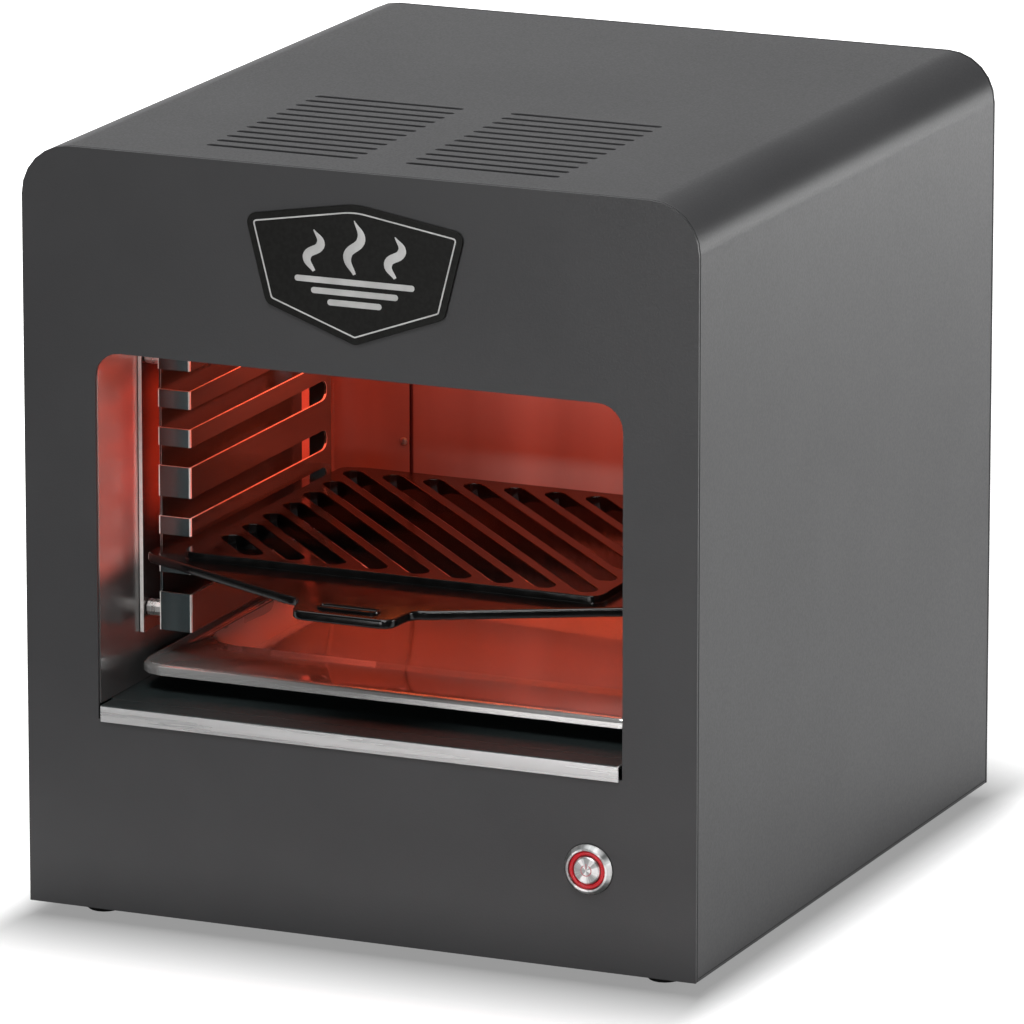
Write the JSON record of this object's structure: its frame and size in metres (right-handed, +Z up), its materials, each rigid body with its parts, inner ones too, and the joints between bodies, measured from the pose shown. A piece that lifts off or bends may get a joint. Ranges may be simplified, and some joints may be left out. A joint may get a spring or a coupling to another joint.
{
  "type": "electric grill",
  "caption": "Open-fronted countertop grill with top heating elements, a slotted grill plate held in side racks, a drip tray and an illuminated push button.",
  "frame": {"origin": "on the table, under the middle of the object's bounding box", "axes": "+Z up, -Y towards the open front, +X towards the side of the push button"},
  "size_m": [0.35, 0.4276, 0.3841],
  "materials": {
    "grey_paint": "fine satin powder coat",
    "badge_black": "gloss black",
    "black_enamel": "vitreous enamel",
    "enamelled_iron": "gloss black enamel",
    "stainless": "bright rolled stainless",
    "zinc_sheet": "galvanised",
    "element_sheath": "heat-darkened alloy",
    "red_lens": "translucent",
    "black_rubber": "matt",
    "white_ceramic": "fired ceramic",
    "cream_plastic": "moulded",
    "black_plastic": "moulded",
    "wire_sleeve": "glass-fibre sleeve"
  },
  "bodies": {
    "housing": {"outer_cover": "grey_paint", "front_panel": "grey_paint", "rear_panel": "grey_paint", "base_plate": "zinc_sheet", "foot_front_left": "black_rubber", "foot_front_right": "black_rubber", "foot_rear_left": "black_rubber", "foot_rear_right": "black_rubber", "sill_trim": "stainless", "chamber_floor": "black_enamel", "chamber_wall_left": "stainless", "chamber_wall_right": "stainless", "chamber_wall_rear": "stainless", "reflector": "stainless", "heating_element_left": "element_sheath", "heating_element_right": "element_sheath", "element_hanger_front": "stainless", "element_hanger_rear": "stainless", "heat_shield": "zinc_sheet", "thermal_cutout": "black_plastic", "rack_left": "stainless", "rack_right": "stainless", "carrier_plate_left": "stainless", "carrier_plate_right": "stainless", "badge_plate": "badge_black", "button_housing": "stainless", "button_light_ring": "red_lens", "button_nut": "stainless", "terminal_block": "cream_plastic", "cord_gland": "black_rubber", "wire_switch": "wire_sleeve", "wire_cutout": "wire_sleeve", "wire_element_left": "wire_sleeve", "wire_element_right": "wire_sleeve", "ceramic_bush_1": "white_ceramic", "ceramic_bush_2": "white_ceramic", "ceramic_bush_3": "white_ceramic", "ceramic_bush_4": "white_ceramic", "rear_screw_1": "zinc_sheet", "rear_screw_2": "zinc_sheet", "rear_screw_3": "zinc_sheet", "rear_screw_4": "zinc_sheet", "rear_wall_screw_1": "stainless", "rear_wall_screw_2": "stainless", "rear_wall_screw_3": "stainless", "rear_wall_screw_4": "stainless", "spacer_bolt_left_1": "stainless", "spacer_bolt_left_2": "stainless", "spacer_bolt_left_3": "stainless", "spacer_bolt_left_4": "stainless", "spacer_bolt_right_1": "stainless", "spacer_bolt_right_2": "stainless", "spacer_bolt_right_3": "stainless", "spacer_bolt_right_4": "stainless"},
    "grill_plate": {"grill_plate": "enamelled_iron"},
    "drip_tray": {"drip_tray": "stainless"},
    "button_cap": {"button_cap": "stainless"}
  },
  "joints": [
    {"name": "grill_plate_slide", "type": "slide", "parent": "housing", "child": "grill_plate", "axis": [0, -1, 0], "range_m": [0, 0.24]},
    {"name": "drip_tray_slide", "type": "slide", "parent": "housing", "child": "drip_tray", "axis": [0, -1, 0], "range_m": [0, 0.27]},
    {"name": "button_press", "type": "slide", "parent": "housing", "child": "button_cap", "axis": [0, 1, 0], "range_m": [0, 0.0025], "stiffness_N_per_m": 600, "springref_m": -0.002}
  ]
}
